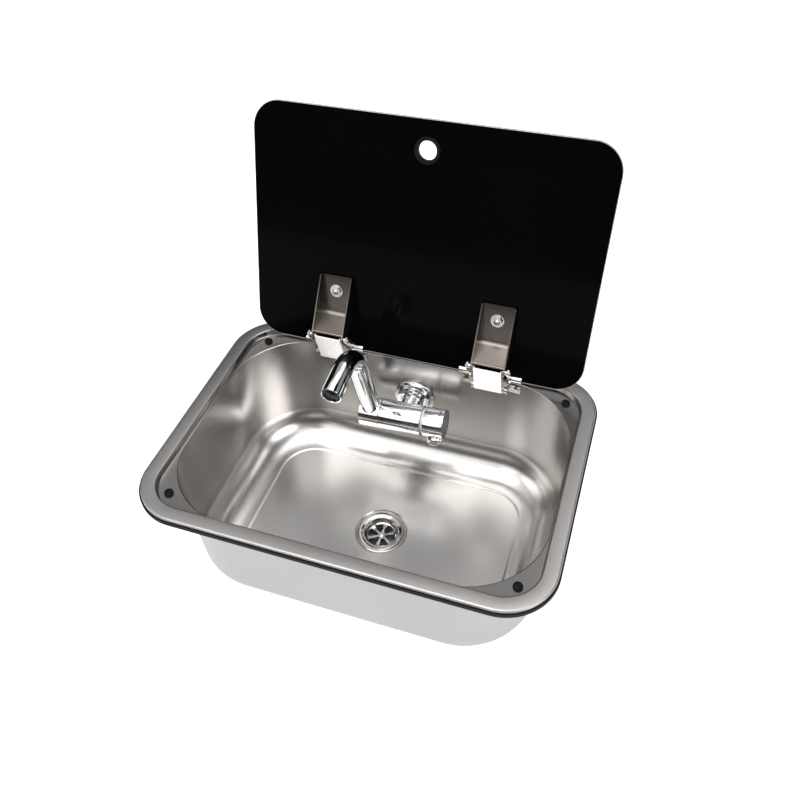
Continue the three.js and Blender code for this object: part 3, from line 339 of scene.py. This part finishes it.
def arm_steel():
    """Satin steel of the lid's arms with a painted reflection: pale by the nose and dark towards the tip.
    """
    material = metal("arm steel", (0.30, 0.28, 0.26), (0.36, 0.34, 0.32), (0.24, 0.34),
                     cloud=50, grain=700, bump=0.04)
    tree = material.node_tree
    colour = tree.nodes["Principled BSDF"].inputs["Base Color"]
    # Painted reflection: the colour is multiplied by a ramp up the arm, light by the nose and dark by the
    # tip.
    place = node(tree, "ShaderNodeTexCoord").outputs["Object"]
    height = node(tree, "ShaderNodeSeparateXYZ", {0: place}).outputs["Z"]
    nose_z, tip_z = 0.02, 0.12
    climb = node(tree, "ShaderNodeMapRange", {"Value": height, "From Min": nose_z, "From Max": tip_z})
    shade = node(tree, "ShaderNodeValToRGB", {"Fac": climb.outputs[0]})
    stops = shade.color_ramp.elements
    stops[0].position, stops[0].color = 0.0, (1.9, 1.75, 1.6, 1)
    stops[1].position, stops[1].color = 1.0, (0.13, 0.13, 0.13, 1)
    stops.new(0.42).color = (0.62, 0.59, 0.56, 1)
    mix = node(tree, "ShaderNodeMix", data_type="RGBA", blend_type="MULTIPLY")
    mix.inputs["Factor"].default_value = 1.0
    tree.links.new(colour.links[0].from_socket, mix.inputs[6])
    tree.links.new(shade.outputs[0], mix.inputs[7])
    tree.links.new(mix.outputs[2], colour)
    return material


RIM_STEEL = metal("rim steel", (0.43, 0.415, 0.405), (0.50, 0.485, 0.475), (0.28, 0.50),
                  cloud=9, grain=850, stretch=(0.35, 1, 1), bump=0.45, anisotropic=0.3)
SHELF_STEEL = metal("shelf steel", (0.44, 0.425, 0.41), (0.50, 0.485, 0.47), (0.20, 0.28), cloud=12)
BOWL_STEEL = metal("bowl steel", (0.64, 0.62, 0.605), (0.72, 0.70, 0.685), (0.22, 0.29),
                   cloud=7, grain=900, stretch=(1, 1, 0.05), bump=0.02)
OUTER_STEEL = metal("outer steel", (0.40, 0.392, 0.386), (0.48, 0.472, 0.466), (0.36, 0.46),
                    cloud=8, grain=900, stretch=(1, 1, 0.05), bump=0.05)
HINGE_STEEL = metal("hinge steel", (0.58, 0.55, 0.51), (0.66, 0.63, 0.59), (0.20, 0.32),
                    cloud=40, grain=700, bump=0.04)
# Steel of the stays, made near-white and partly non-metal: a painted highlight over the steel.
STAY_PAINTED_SHEEN = metal("stay steel with painted sheen", (0.92, 0.915, 0.905), (0.96, 0.955, 0.945), (0.22, 0.30),
                   cloud=30, metallic=0.35)
# Near-white and nearly non-metal: a painted highlight for the bevelled edges of the lid's arms.
EDGE_HIGHLIGHT = metal("painted edge highlight", (0.88, 0.86, 0.83), (0.96, 0.94, 0.91), (0.18, 0.26),
                 cloud=60, metallic=0.15)
WASTE_STEEL = metal("waste steel", (0.52, 0.505, 0.49), (0.60, 0.585, 0.57), (0.08, 0.14), cloud=30)
CHROME = metal("chrome", (0.70, 0.71, 0.72), (0.76, 0.765, 0.77), (0.02, 0.05), cloud=30)
BRASS = metal("brass", (0.60, 0.46, 0.22), (0.68, 0.54, 0.29), (0.26, 0.36), cloud=60)
ARM_STEEL = arm_steel()
RUBBER = plain("black rubber", (0.004, 0.004, 0.004), (0.010, 0.010, 0.010), 0.50,
               cloud=400, bump=0.15, specular=0.10)
LID_BLACK = plain("black glass", (0.0015, 0.0015, 0.0017), (0.0024, 0.0024, 0.0026), 0.05,
                  cloud=6, specular=0.02)
GLASS_EDGE = plain("glass edge", (0.34, 0.35, 0.35), (0.46, 0.47, 0.47), 0.12, cloud=60)
WHITE_PLASTIC = plain("white plastic", (0.80, 0.80, 0.78), (0.86, 0.86, 0.84), 0.34)
GREY_PLASTIC = plain("grey plastic", (0.06, 0.063, 0.066), (0.085, 0.088, 0.092), 0.40)
RED = plain("red mark", (0.62, 0.02, 0.02), (0.70, 0.035, 0.03), 0.25)
BLUE = plain("blue mark", (0.02, 0.12, 0.60), (0.03, 0.16, 0.68), 0.25)


# ------------------------------------------------------------------------- bowl
BOWL_LOOKS = [RIM_STEEL, SHELF_STEEL, BOWL_STEEL, OUTER_STEEL]
ON_RIM, ON_WALL, ON_FLOOR, OUTSIDE = range(4)


def inset_ring(inset, z, radius):
    """An outline inset from the rim's."""
    width, depth = RIM_WIDTH - 2 * inset, RIM_DEPTH - 2 * inset
    return rounded_rectangle(width, depth, radius, 0, z, CORNER_STEPS)


def waste_ring(radius, z):
    """A circle round the waste with as many points as an inset ring."""
    return circle(radius, WASTE_Y, z, 4 * (CORNER_STEPS + 1))


def bowl_stations():
    """(inset, z, corner radius) and zone along the sheet's top face, and the same for its underside."""
    top, under = [], []

    def flange_corner(inset):
        return max(RIM_CORNER - inset, 1)

    def wall_corner(inset):
        return max(BOWL_CORNER - (inset - WALL_INSET), 1)

    def arc(inset, z, radius, start, end, steps, convex, corner, zone):
        under_radius = radius - SHEET if convex else radius + SHEET
        for i in range(steps + 1):
            a = math.radians(start + (end - start) * i / steps)
            for side, r, mark in ((top, radius, zone), (under, under_radius, OUTSIDE)):
                at = inset + r * math.cos(a)
                side.append(((at, z + r * math.sin(a), corner(at)), mark))

    lean = math.degrees(WALL_LEAN)
    arc(RIM_ROLL, -RIM_ROLL, RIM_ROLL, 180, 90, 8, True, flange_corner, ON_RIM)
    arc(FLANGE - RECESS_ROUND, -RECESS_ROUND, RECESS_ROUND, 90, 0, 6, True, flange_corner, ON_RIM)
    top[-1] = (top[-1][0], ON_WALL)  # so that the recess's own wall is satin
    arc(SHELF_INSET, -SHELF_DROP + SHELF_FILLET, SHELF_FILLET, 180, 270, 5, False, flange_corner, ON_WALL)
    arc(EDGE_INSET, -SHELF_DROP - EDGE_ROUND, EDGE_ROUND, 90, lean, 6, True, wall_corner, ON_WALL)
    arc(FLOOR_INSET, -BOWL_DEPTH + FLOOR_FILLET, FLOOR_FILLET, 180 + lean, 270, 24, False,
        wall_corner, ON_FLOOR)
    arc(STEP_INSET, -BOWL_DEPTH - STEP_ROUND, STEP_ROUND, 90, 90 - STEP_ANGLE, 4, True,
        wall_corner, ON_FLOOR)
    arc(STEP_INSET + STEP_RUN, -BOWL_DEPTH - STEP_DROP + STEP_ROUND, STEP_ROUND,
        270 - STEP_ANGLE, 270, 4, False, wall_corner, ON_FLOOR)
    return top, under


def bowl():
    top, under = bowl_stations()
    rings, zones = [], []
    for side, drop in ((top, 0), (under, SHEET)):
        made = [(inset_ring(*station), zone) for station, zone in side]
        centre_zone = OUTSIDE if drop else ON_FLOOR
        made += [(waste_ring(SEAT_TOP, WASTE_RIM_Z - drop), centre_zone),
                 (waste_ring(SEAT_FOOT, WASTE_SEAT_Z - drop), centre_zone),
                 (waste_ring(SEAT_HOLE, WASTE_SEAT_Z - drop), centre_zone)]
        if side is top:
            made.reverse()
        rings += [ring for ring, _ in made]
        zones += [zone for _, zone in made]
    points, faces = skin(rings, closed=True)
    marks = []
    for r in range(len(rings)):
        marks += [min(zones[r], zones[(r + 1) % len(rings)])] * len(rings[0])
    mesh = mesh_from("bowl", points, faces, Matrix.Translation((0, 0, RIM_TOP)), marks)
    return new_object("bowl", mesh, "sink", "sink_bowl", BOWL_LOOKS)


def gasket():
    proud, reach, top, lip = 2.0, 13.0, -1.1, -3.3
    chamfer, step = 1.0, 1.1
    section = rounded([
        (-proud, -RIM_TOP), (reach, -RIM_TOP), (reach, top), (step + chamfer, top),
        (step, top - chamfer), (step, lip), (-proud, lip)], 0.8)
    rings = [inset_ring(inset, z, RIM_CORNER - inset) for inset, z in section]
    points, faces = skin(rings, closed=True)
    mesh = mesh_from("gasket", points, faces, Matrix.Translation((0, 0, RIM_TOP)))
    return new_object("gasket", mesh, "sink", "rim_gasket", [RUBBER])


# -------------------------------------------------------------------------- lid
# The lid's own frame: y from its rear edge, z from its underside when it is closed.
LID_PLACE = (
    Matrix.Translation((0, PIVOT_Y, PIVOT_Z + RIM_TOP))
    @ Matrix.Rotation(-math.radians(LID_OPEN), 4, "X")
    @ Matrix.Translation((0, LID_DEPTH / 2 - PIVOT_Y, LID_UNDER_Z - PIVOT_Z))
)


def lid_ring(inset, z):
    """An outline inset from the lid's."""
    width, depth = LID_WIDTH - 2 * inset, LID_DEPTH - 2 * inset
    return rounded_rectangle(width, depth, LID_CORNER - inset, -LID_DEPTH / 2, z, 24)


def lid():
    """The glass: ground edges round two flat black faces, with the finger hole through both."""
    looks = [LID_BLACK, GLASS_EDGE]
    ground = looks.index(GLASS_EDGE)
    low, high = LID_EDGE * 0.3, GLASS - LID_EDGE * 0.3
    rings = [lid_ring(LID_EDGE, 0), lid_ring(low, low), lid_ring(0, LID_EDGE),
             lid_ring(0, GLASS - LID_EDGE), lid_ring(low, high), lid_ring(LID_EDGE, GLASS)]
    work = bmesh.new()

    def wrap(rings):
        loops = [[work.verts.new(p) for p in ring] for ring in rings]
        for here, there in zip(loops, loops[1:]):
            for i in range(len(here)):
                j = (i + 1) % len(here)
                work.faces.new([here[i], here[j], there[j], there[i]]).material_index = ground
        return loops[0], loops[-1]

    outside = wrap(rings)
    hole = wrap([circle(FINGER_HOLE, -FINGER_REACH, z, 48) for z in (0, GLASS)])
    for loops in zip(outside, hole):
        edges = []
        for loop in loops:
            edges += [work.edges.get((vert, loop[(i + 1) % len(loop)])) for i, vert in enumerate(loop)]
        bmesh.ops.triangle_fill(work, edges=edges, use_beauty=True)
    bmesh.ops.recalc_face_normals(work, faces=work.faces)
    for edge in work.edges:
        edge.smooth = len(edge.link_faces) == 2 and edge.calc_face_angle(0) < math.radians(20)
    mesh = mesh_of("lid", work, LID_PLACE)
    return new_object("lid", mesh, "lid", "lid_glass", looks)


def grommet():
    bore, neck, flange, lip = 12.2, FINGER_HOLE - GAP, 17.0, 1.6
    under, over = -GAP, GLASS + GAP
    profile = [(bore, under - lip), (flange, under - lip), (flange, under), (neck, under),
               (neck, over), (flange, over), (flange, over + lip), (bore, over + lip)]
    points, faces = skin(lathe(rounded(profile, 1.1, 5), 64, "Z"), closed=True)
    place = LID_PLACE @ Matrix.Translation((0, -FINGER_REACH, 0))
    mesh = mesh_from("grommet", points, faces, place)
    return new_object("grommet", mesh, "lid", "finger_grommet", [RUBBER])


# -------------------------------------------------------------------------- tap
def rear_wall_at(z):
    return REAR_WALL_Y - (WALL_TOP_Z - z) * math.tan(WALL_LEAN)


# The tap's frame: x along its body, y into the wall and 0 on its face, z up the wall.
TAP = (
    Matrix.Translation((0, rear_wall_at(TAP_Z), TAP_Z + RIM_TOP))
    @ Matrix.Rotation(-WALL_LEAN, 4, "X")
    @ Matrix.Rotation(-math.radians(TAP_ROLL), 4, "Y")
)
BODY = TAP @ Matrix.Translation((0, -BODY_OUT, 0))


def tap():
    bore, rim, foot = SHANK_RADIUS + GAP, -2.7, -3.8
    rose = [(bore, -GAP), (ROSE_RADIUS, -GAP), (ROSE_RADIUS, rim),
            (ROSE_STEP + 1, foot), (ROSE_STEP, -ROSE_THICKNESS), (bore, -ROSE_THICKNESS)]
    turned("rose", rose, TAP, "sink", "tap_rose", CHROME, "Y", 0.9)
    barrel = [(0, SPIGOT_END), (SPIGOT_RADIUS, SPIGOT_END), (SPIGOT_RADIUS, BODY_LEFT),
              (BODY_RADIUS, BODY_LEFT), (BODY_RADIUS, BODY_RIGHT), (SOCKET_RADIUS, BODY_RIGHT),
              (SOCKET_RADIUS, SOCKET_FLOOR), (0, SOCKET_FLOOR)]
    turned("tap_barrel", barrel, BODY, "sink", "tap_body", CHROME)
    inlet = SHANK_LENGTH - INLET_DEPTH
    shank = [(0, 0), (SHANK_RADIUS, 0), (SHANK_RADIUS, SHANK_LENGTH), (INLET_BORE, SHANK_LENGTH),
             (INLET_BORE, inlet), (0, inlet)]
    turned("tap_neck", shank, BODY, "sink", None, CHROME, "Y", segments=64)
    start = BODY_RIGHT + GAP
    ring = [(RING_BORE, start), (RING_RADIUS, start), (RING_RADIUS, start + RING_WIDTH),
            (RING_BORE, start + RING_WIDTH)]
    turned("trim_ring_fine", ring, BODY, "sink", "trim_ring", WHITE_PLASTIC)
    inside = CAP_END - CAP_FACE
    cap = [(CAP_BORE, CAP_START), (BODY_RADIUS, CAP_START), (BODY_RADIUS, CAP_END), (0, CAP_END),
           (0, inside), (CAP_BORE, inside)]
    turned("handle_cap", cap, BODY, "mixer_handle", "handle", CHROME, radius=1.4)


def lever():
    """The small plate under the handle that a finger lifts."""
    outline = [
        (LEVER_LEFT, LEVER_ROOT), (LEVER_LEFT, LEVER_TIP + 5), (LEVER_LEFT + 3, LEVER_TIP + 0.8),
        (LEVER_LEFT + 6, LEVER_TIP), (LEVER_RIGHT - 6, LEVER_TIP), (LEVER_RIGHT, LEVER_TIP + 6),
        (LEVER_RIGHT, LEVER_ROOT)]
    work = bmesh.new()
    front = [work.verts.new((x, LEVER_FRONT, z)) for x, z in outline]
    back = [work.verts.new((x, LEVER_BACK, z)) for x, z in outline]
    work.faces.new(front)
    work.faces.new(list(reversed(back)))
    for i in range(len(outline)):
        j = (i + 1) % len(outline)
        work.faces.new([front[j], front[i], back[i], back[j]])
    bmesh.ops.recalc_face_normals(work, faces=work.faces)
    bmesh.ops.bevel(work, geom=work.edges[:], offset=1.2, segments=4, affect="EDGES", clamp_overlap=True)
    mesh = mesh_of("lever", work, BODY @ Matrix.Rotation(math.radians(-LEVER_TURN), 4, "X"))
    return new_object("handle_lever", mesh, "mixer_handle", None, [CHROME])


def spout_stations():
    """(point, heading's turn, radius) up the tube, over its bend and back into its mouth."""
    turn = math.radians(90 + SPOUT_PITCH)
    centre = Vector((SPOUT_BEND, SPOUT_RISE - SPOUT_BEND))
    heading = Vector((math.sin(turn), math.cos(turn)))

    def on_bend(a):
        return Vector((centre.x - SPOUT_BEND * math.cos(a), centre.y + SPOUT_BEND * math.sin(a)))

    def radius(t):
        u = min(max((t - 0.2) / 0.8, 0), 1)
        return SPOUT_RADIUS + SPOUT_FLARE * u * u * (3 - 2 * u)

    stations = [(Vector((0, SPOUT_FOOT)), 0, radius(0))]
    steps = 28
    for i in range(steps + 1):
        a = turn * i / steps
        stations.append((on_bend(a), a, radius(0.35 + 0.25 * i / steps)))
    end = on_bend(turn)
    for back, inwards in SPOUT_LIP:
        stations.append((end + heading * (SPOUT_REACH - back), turn, radius(1) - inwards))
    return stations


def spout():
    place = BODY @ Matrix.Rotation(math.radians(SPOUT_LEAN), 4, "X")
    sides = 64
    rings = []
    for p, a, r in spout_stations():
        ring = []
        for i in range(sides):
            w = 2 * math.pi * i / sides
            across, outward = r * math.cos(w), r * math.sin(w)
            ring.append((SPOUT_ALONG + across, -(p.x - outward * math.cos(a)), p.y + outward * math.sin(a)))
        rings.append(ring)
    points, faces = skin(rings, caps=True)
    mesh = mesh_from("spout_pipe", points, faces, place)
    new_object("spout_pipe", mesh, "spout", "spout", [CHROME])
    bore, end = SPIGOT_RADIUS + GAP, BODY_LEFT - GAP
    collar = [(bore, COLLAR_END), (BODY_RADIUS, COLLAR_END), (BODY_RADIUS, end), (bore, end)]
    turned("spout_collar", collar, place, "spout", None, CHROME, radius=0.8)


def waste():
    cup_end = WASTE_TOP - WASTE_DEPTH
    cup_outside = WASTE_CUP + WASTE_WALL
    seat = WASTE_SEAT_Z + GAP
    profile = [(WASTE_CUP, cup_end), (cup_outside, cup_end), (cup_outside, seat - 1),
               (cup_outside + 1, seat), (WASTE_FLANGE, seat), (WASTE_FLANGE, WASTE_TOP - 0.5),
               (WASTE_FLANGE - 1, WASTE_TOP), (WASTE_FLANGE - 6, WASTE_TOP - 0.3),
               (WASTE_CUP + 2.2, WASTE_TOP - 2), (WASTE_CUP, WASTE_TOP - 5)]
    place = Matrix.Translation((0, WASTE_Y, RIM_TOP))
    turned("waste_rim", profile, place, "sink", "waste_flange", WASTE_STEEL, "Z", 1.2)


# --------------------------------------------------------- CAD nodes that stay
SLOT_LOOK = {
    "bowl_steel": BOWL_STEEL, "hinge_steel": HINGE_STEEL, "black_rubber": RUBBER,
    "black_glass": LID_BLACK, "chrome": CHROME, "brass": BRASS, "white_plastic": WHITE_PLASTIC,
    "grey_plastic": GREY_PLASTIC, "red_mark": RED, "blue_mark": BLUE,
}
NODE_LOOK = {
    "stay_left": STAY_PAINTED_SHEEN, "stay_right": STAY_PAINTED_SHEEN,
    "hinge_arm_left": ARM_STEEL, "hinge_arm_right": ARM_STEEL,
    "aerator": GREY_PLASTIC, "waste_grid": WASTE_STEEL,
}
BEVELLED = ("hinge_", "stay_left", "stay_right")


def soft_edges():
    """Node group that joins a CAD mesh's corners and shades it smooth but for sharp edges."""
    group = bpy.data.node_groups.new("soft edges", "GeometryNodeTree")
    group.interface.new_socket("Geometry", in_out="INPUT", socket_type="NodeSocketGeometry")
    group.interface.new_socket("Geometry", in_out="OUTPUT", socket_type="NodeSocketGeometry")
    made = group.nodes.new
    start, end = made("NodeGroupInput"), made("NodeGroupOutput")
    merge = made("GeometryNodeMergeByDistance")
    merge.inputs["Distance"].default_value = 2e-6
    smooth = made("GeometryNodeSetShadeSmooth")
    smooth.domain = "FACE"
    angle = made("GeometryNodeInputMeshEdgeAngle")
    compare = made("FunctionNodeCompare")
    compare.operation = "GREATER_THAN"
    compare.inputs[1].default_value = math.radians(34)
    sharp = made("GeometryNodeSetShadeSmooth")
    sharp.domain = "EDGE"
    sharp.inputs["Shade Smooth"].default_value = False
    link = group.links.new
    link(start.outputs[0], merge.inputs[0])
    link(merge.outputs[0], smooth.inputs[0])
    link(smooth.outputs[0], sharp.inputs[0])
    link(angle.outputs[0], compare.inputs[0])
    link(compare.outputs[0], sharp.inputs["Selection"])
    link(sharp.outputs[0], end.inputs[0])
    return group


def bevel(obj, look):
    """Small bevels on bent strip, with a painted highlight on the bevels of an arm's edges."""
    edges = obj.modifiers.new("edges", "BEVEL")
    edges.width = 0.0003
    edges.segments = 2
    edges.limit_method = "ANGLE"
    edges.angle_limit = math.radians(40)
    if look is ARM_STEEL:
        # The arms' bevels take the painted edge highlight and a wider bevel.
        obj.data.materials.append(EDGE_HIGHLIGHT)
        edges.width = 0.0005
        edges.material = 1
    even = obj.modifiers.new("even faces", "WEIGHTED_NORMAL")
    even.keep_sharp = True


def dress_nodes():
    slot_of = {part["node"]: part["material_slot"] for part in frame["record"]["subparts"]}
    group = soft_edges()
    for name, obj in frame["nodes"].items():
        look = NODE_LOOK.get(name, SLOT_LOOK[slot_of[name]])
        for place in obj.material_slots:
            place.material = look
        if not obj.material_slots:
            obj.data.materials.append(look)
        obj.modifiers.new("soft edges", "NODES").node_group = group
        if name.startswith(BEVELLED):
            bevel(obj, look)


# --------------------------------------------------------------------- staging
def stage():
    """A pale floor just under the object, which shines a little more for the camera than for it."""
    half = 6.0
    z = cad_box[0][2] - 1.3 * MM
    mesh = bpy.data.meshes.new("floor")
    corners = [(-half, -half, z), (half, -half, z), (half, half, z), (-half, half, z)]
    mesh.from_pydata(corners, [], [(0, 1, 2, 3)])
    floor = bpy.data.objects.new("floor", mesh)
    bpy.context.scene.collection.objects.link(floor)
    look, tree, shader = nodes_of("floor white")
    cloud = noise(tree, 2)
    tree.links.new(tint(tree, cloud, (0.96, 0.96, 0.96), (0.98, 0.98, 0.98)), shader.inputs["Base Color"])
    shader.inputs["Roughness"].default_value = 0.9
    shader.inputs["Specular IOR Level"].default_value = 0.1
    shader.inputs["Emission Color"].default_value = (1, 1, 1, 1)
    rays = node(tree, "ShaderNodeLightPath").outputs["Is Camera Ray"]
    tree.links.new(spread(tree, rays, 0.25, 0.50), shader.inputs["Emission Strength"])
    floor.data.materials.append(look)


SOFTBOXES = [
    # middle of its direction, half sizes, strength
    ((0.0, -0.02, 1.0), (0.36, 0.38, 0.50), 3.1),
    ((0.26, 0.45, 0.86), (0.28, 0.28, 0.28), 1.3),
    ((-0.26, 0.45, 0.86), (0.28, 0.28, 0.28), 0.4),
    ((-0.52, 0.0, 0.86), (0.28, 0.28, 0.28), 0.8),
    ((-0.26, -0.45, 0.86), (0.30, 0.28, 0.28), 3.5),
    ((0.26, -0.45, 0.86), (0.30, 0.28, 0.28), 1.3),
    ((0.80, 0.33, 0.49), (0.33, 0.33, 0.24), 0.3),
    ((-0.80, -0.33, 0.49), (0.33, 0.33, 0.24), 2.0),
    ((-0.33, -0.80, 0.49), (0.33, 0.33, 0.24), 1.7),
    ((0.33, -0.80, 0.49), (0.33, 0.33, 0.24), 0.3),
    ((0.80, -0.33, 0.49), (0.33, 0.33, 0.24), 5.2),
]
ROOM_LEVEL = 0.01


def softbox(tree, direction, middle, size, strength):
    """Brightness of one softbox in the studio, in the direction given, with soft edges."""
    away = node(tree, "ShaderNodeVectorMath", {0: direction, 1: middle}, operation="SUBTRACT").outputs[0]
    scaled = node(tree, "ShaderNodeVectorMath", {0: away, 1: size}, operation="DIVIDE").outputs[0]
    reach = node(tree, "ShaderNodeVectorMath", {0: scaled}, operation="LENGTH").outputs["Value"]
    return node(tree, "ShaderNodeMapRange", {
        "Value": reach, "From Min": 1.15, "From Max": 0.8, "To Min": 0.0, "To Max": strength,
    }, interpolation_type="SMOOTHSTEP").outputs[0]


def world():
    """Softboxes in a dark studio, with plain white behind the object for the camera."""
    made = bpy.data.worlds.new("studio")
    bpy.context.scene.world = made
    made.use_nodes = True
    tree = made.node_tree
    tree.nodes.clear()
    direction = node(tree, "ShaderNodeTexCoord").outputs["Generated"]
    level = ROOM_LEVEL
    for middle, size, strength in SOFTBOXES:
        one = softbox(tree, direction, middle, size, strength)
        level = node(tree, "ShaderNodeMath", {0: level, 1: one}, operation="ADD").outputs[0]
    studio = node(tree, "ShaderNodeBackground", {"Color": (1, 1, 1, 1), "Strength": level})
    white = node(tree, "ShaderNodeBackground", {"Color": (1, 1, 1, 1), "Strength": 1.0})
    rays = node(tree, "ShaderNodeLightPath").outputs["Is Camera Ray"]
    mix = node(tree, "ShaderNodeMixShader", {0: rays, 1: studio.outputs[0], 2: white.outputs[0]})
    out = node(tree, "ShaderNodeOutputWorld")
    tree.links.new(mix.outputs[0], out.inputs[0])


def camera():
    data = bpy.data.cameras.new("camera")
    data.lens = 35.71
    data.sensor_width = 36.0
    data.clip_start = 0.05
    data.clip_end = 30
    obj = bpy.data.objects.new("camera", data)
    bpy.context.scene.collection.objects.link(obj)
    obj.location = (0.26869, -0.62042, 0.78989)
    obj.rotation_euler = [math.radians(a) for a in (43.748, 1.8796, 18.4825)]
    bpy.context.scene.camera = obj


bowl()
gasket()
lid()
grommet()
tap()
lever()
spout()
waste()
dress_nodes()
stage()
world()
camera()
bpy.context.scene.view_settings.view_transform = "Standard"
